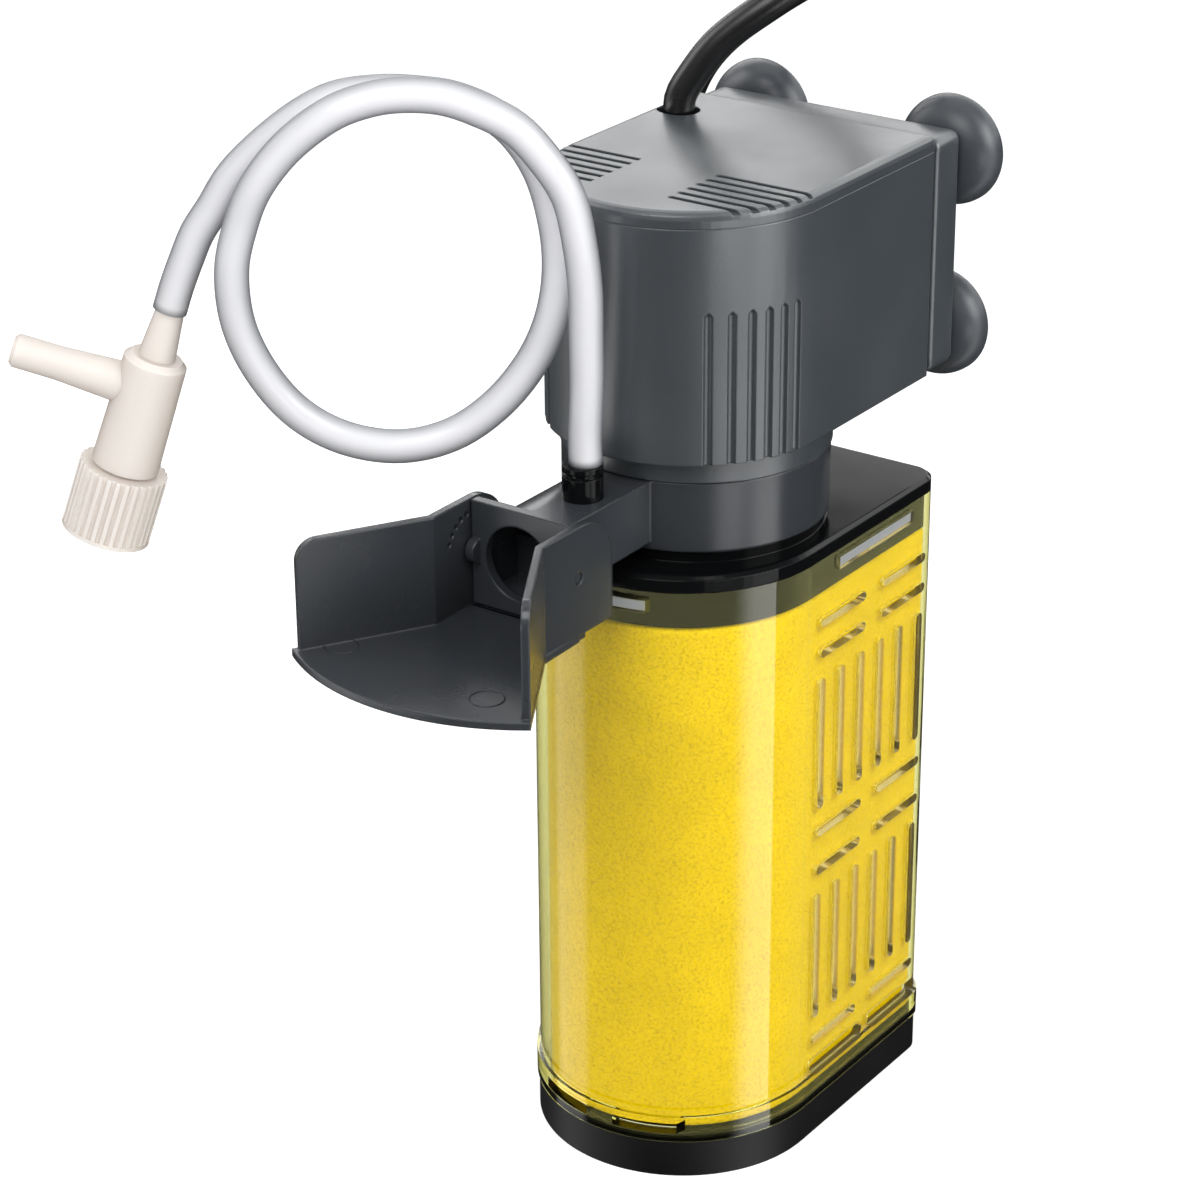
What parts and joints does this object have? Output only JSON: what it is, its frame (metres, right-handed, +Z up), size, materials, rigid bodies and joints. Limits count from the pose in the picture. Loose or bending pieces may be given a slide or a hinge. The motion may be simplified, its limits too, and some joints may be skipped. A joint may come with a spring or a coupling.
{
  "type": "internal aquarium filter",
  "caption": "Internal power filter: pump head on a clear sponge canister, with swivel outlet, tilting deflector, suction cups, air hose with valve, and mains cord.",
  "frame": {"origin": "on the impeller axis, at the underside of the base cap", "axes": "+Z up along the impeller axis, the outlet points to -Y, the suction cups point to +Y"},
  "size_m": [0.1413, 0.2989, 0.2234],
  "materials": {
    "charcoal_plastic": "satin injection-moulded ABS, dark grey",
    "black_plastic": "glossy black ABS",
    "clear_plastic": "clear glossy styrene-acrylonitrile",
    "yellow_foam": "open-cell polyurethane foam",
    "grey_rubber": "matt soft PVC",
    "black_rubber": "matt nitrile rubber",
    "cord_pvc": "satin black PVC cord sheath",
    "hose_pvc": "translucent soft PVC",
    "frosted_plastic": "frosted natural polypropylene",
    "core_steel": "laminated silicon steel",
    "winding_copper": "enamelled copper wire",
    "bobbin_nylon": "natural nylon",
    "resin": "black potting epoxy",
    "ceramic": "polished alumina ceramic",
    "magnet": "coated ferrite magnet",
    "impeller_plastic": "moulded polyacetal",
    "pin_metal": "nickel-plated brass"
  },
  "bodies": {
    "canister": {"base_cap": "black_plastic", "canister_shell": "clear_plastic", "sponge": "yellow_foam", "canister_lid": "black_plastic"},
    "pump": {"neck_ring": "charcoal_plastic", "neck_seal": "black_rubber", "motor_housing": "charcoal_plastic", "top_cover": "charcoal_plastic", "back_plate": "charcoal_plastic", "cup_top_left": "grey_rubber", "cup_top_right": "grey_rubber", "cup_bottom_left": "grey_rubber", "cup_bottom_right": "grey_rubber", "stator_core": "core_steel", "coil_bobbin": "bobbin_nylon", "coil_winding": "winding_copper", "potting_resin": "resin", "cord_gland": "black_rubber", "shaft_bush_top": "black_rubber", "shaft_bush_bottom": "black_rubber", "impeller_shaft": "ceramic", "power_cord": "cord_pvc", "cord_coil": "cord_pvc", "plug_body": "cord_pvc", "plug_pins": "pin_metal"},
    "rotor": {"impeller": "impeller_plastic", "rotor_magnet": "magnet"},
    "outlet": {"outlet_collar": "charcoal_plastic", "collar_seal": "black_rubber", "air_nipple": "black_plastic", "air_hose": "hose_pvc", "valve_body": "frosted_plastic"},
    "deflector": {"flow_deflector": "charcoal_plastic"},
    "valve_stem": {"valve_needle": "frosted_plastic", "valve_seal": "black_rubber"},
    "valve_cap": {"valve_knob": "frosted_plastic"}
  },
  "joints": [
    {"name": "head_lift", "type": "slide", "parent": "canister", "child": "pump", "axis": [0, 0, 1], "range_m": [0, 0.02]},
    {"name": "rotor_spin", "type": "hinge", "parent": "pump", "child": "rotor", "pos_m": [0, 0, 0.1454], "axis": [0, 0, 1], "continuous": true},
    {"name": "outlet_swivel", "type": "hinge", "parent": "pump", "child": "outlet", "pos_m": [0, 0, 0.1275], "axis": [0, 0, 1], "range_deg": [-90, 90]},
    {"name": "deflector_tilt", "type": "hinge", "parent": "outlet", "child": "deflector", "pos_m": [-0.00435, -0.0484, 0.1313], "axis": [-1, 0, 0], "range_deg": [0, 56]},
    {"name": "stem_travel", "type": "slide", "parent": "outlet", "child": "valve_stem", "axis": [-0.2593, -0.1829, -0.9483], "range_m": [-0.0004, 0.002]},
    {"name": "knob_turn", "type": "hinge", "parent": "valve_stem", "child": "valve_cap", "pos_m": [-0.06261, -0.0749, 0.1656], "axis": [-0.2593, -0.1829, -0.9483], "range_deg": [-150, 726]}
  ],
  "couplings": [
    {"joint": "knob_turn", "follows": "stem_travel", "rad_per_m": 6283.2}
  ]
}
